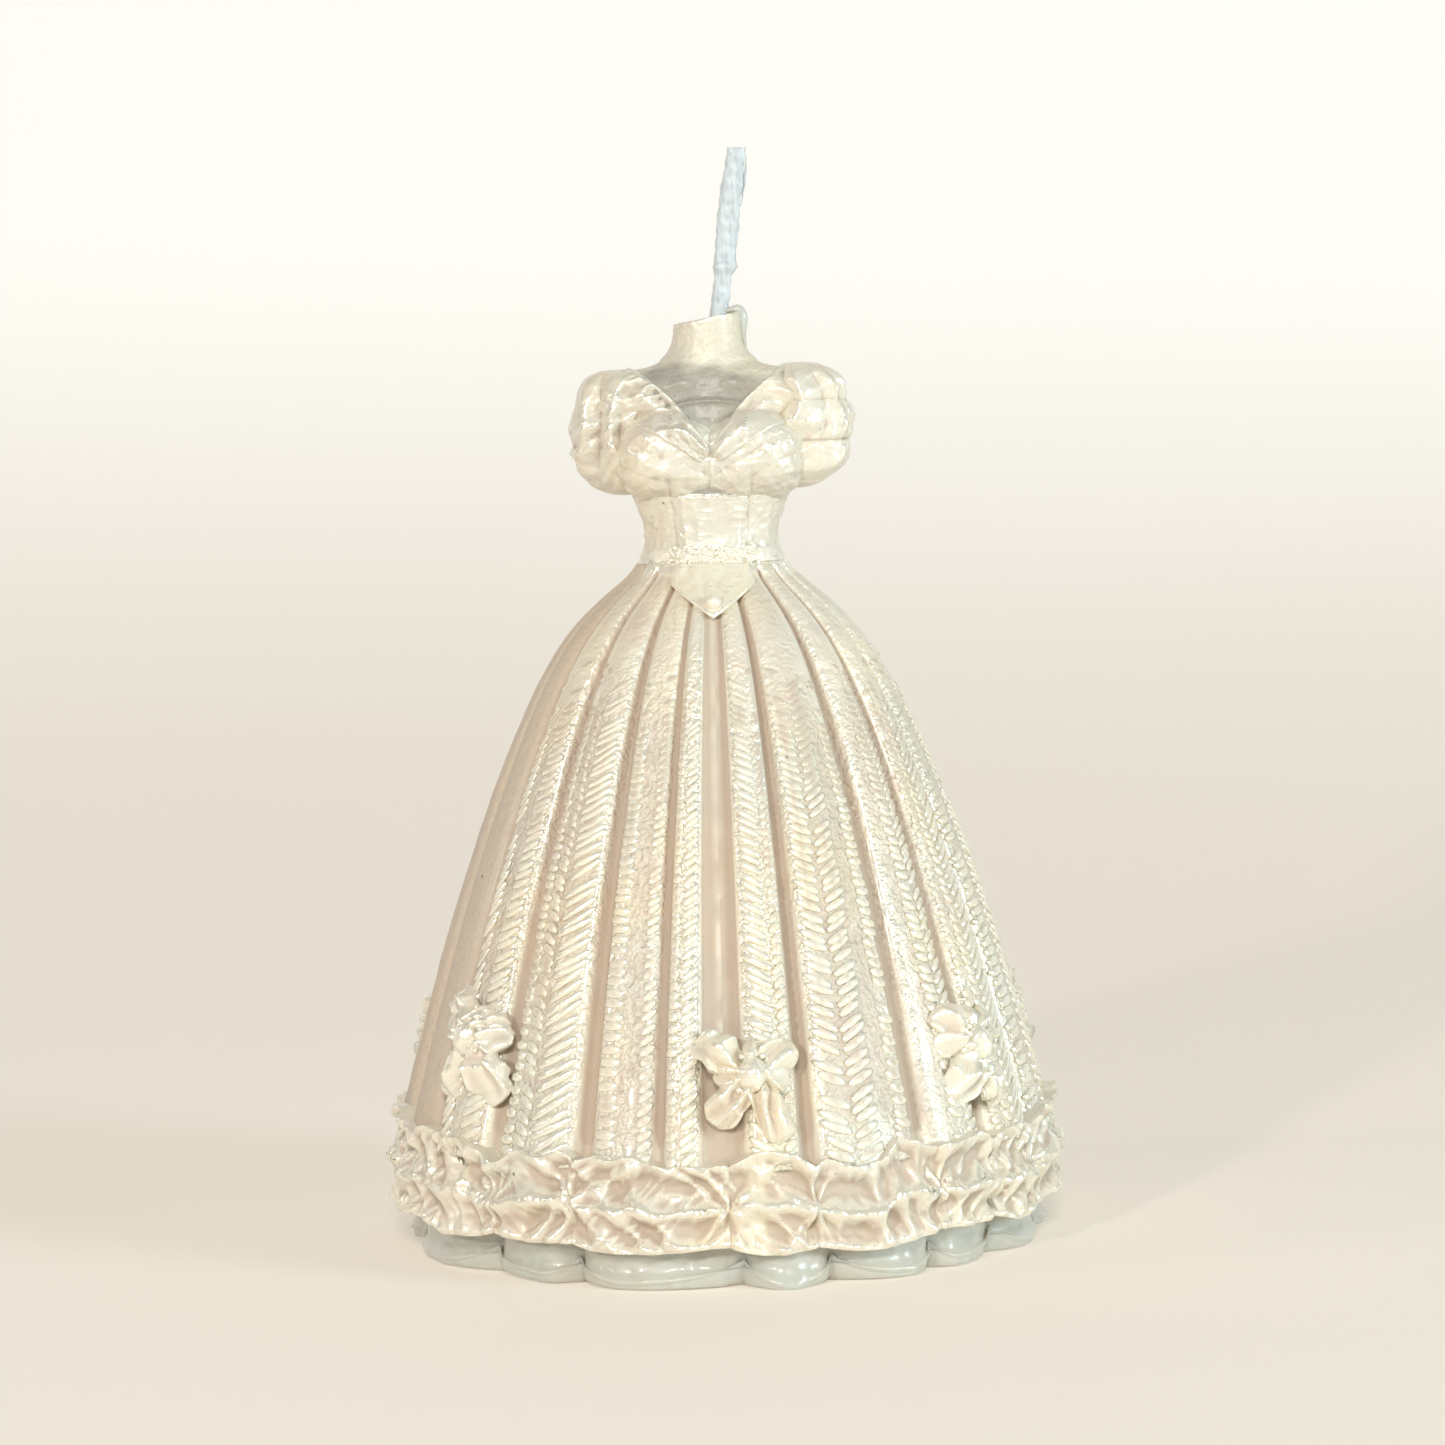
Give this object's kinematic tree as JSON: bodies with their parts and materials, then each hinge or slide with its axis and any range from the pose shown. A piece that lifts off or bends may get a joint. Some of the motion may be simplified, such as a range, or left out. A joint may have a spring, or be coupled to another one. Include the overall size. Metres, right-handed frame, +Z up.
{
  "type": "gown-shaped unity candle",
  "caption": "Moulded wax candle shaped as a full pleated bridal gown with puff sleeves, bows and a ruffled hem, with a tall primed wick.",
  "frame": {"origin": "middle of the flat base, on the table", "axes": "+Z up along the candle, front of the gown towards -Y, +X to the right of the front view"},
  "size_m": [0.0748, 0.0748, 0.12],
  "materials": {
    "pearl_wax": "moulded paraffin wax with a thin pearl glaze",
    "plain_wax": "bare translucent paraffin wax",
    "cotton_wick": "braided cotton primed stiff with wax",
    "tinned_steel": "pressed tinned sheet"
  },
  "bodies": {
    "root": {"wick": "cotton_wick", "wick_tab": "tinned_steel", "skirt": "pearl_wax", "petticoat": "plain_wax", "hem_swag_1": "pearl_wax", "hem_swag_2": "pearl_wax", "hem_swag_3": "pearl_wax", "hem_swag_4": "pearl_wax", "hem_swag_5": "pearl_wax", "hem_swag_6": "pearl_wax", "bow_1": "pearl_wax", "bow_2": "pearl_wax", "bow_3": "pearl_wax", "bow_4": "pearl_wax", "bow_5": "pearl_wax", "bow_6": "pearl_wax", "corset": "pearl_wax", "front_panel": "pearl_wax", "belt": "pearl_wax", "basque": "pearl_wax", "basque_pearl": "pearl_wax", "bust_form": "pearl_wax", "cup_left": "pearl_wax", "cup_right": "pearl_wax", "collar_left": "pearl_wax", "collar_right": "pearl_wax", "sleeve_left": "pearl_wax", "sleeve_right": "pearl_wax", "wax_run": "plain_wax"}
  },
  "joints": []
}
